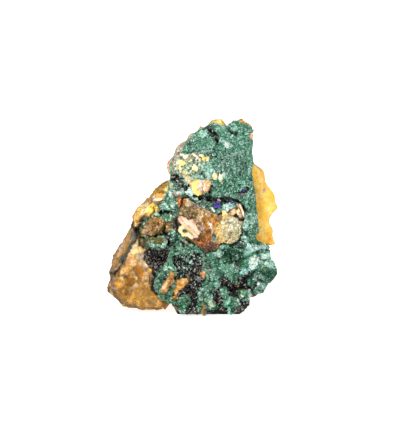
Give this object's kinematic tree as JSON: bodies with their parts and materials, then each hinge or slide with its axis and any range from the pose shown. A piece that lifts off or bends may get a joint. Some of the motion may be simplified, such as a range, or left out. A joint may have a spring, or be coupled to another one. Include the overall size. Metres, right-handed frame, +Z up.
{
  "type": "azurite malachite mineral specimen",
  "caption": "Freestanding mineral specimen: green malachite crust with small azurite crystals on ochre limonite rock.",
  "frame": {"origin": "on the flat break it stands on, under the middle of its bounding box", "axes": "+Z up, -Y out of the green face, +X to the right of someone who faces the green face"},
  "size_m": [0.0538, 0.0294, 0.0613],
  "materials": {
    "limonite": "matte",
    "malachite": "satin",
    "azurite": "gloss"
  },
  "bodies": {
    "root": {"limonite_matrix": "limonite", "malachite_crust": "malachite", "azurite_cluster_large": "azurite", "azurite_cluster_middle": "azurite", "azurite_cluster_small": "azurite"}
  },
  "joints": []
}
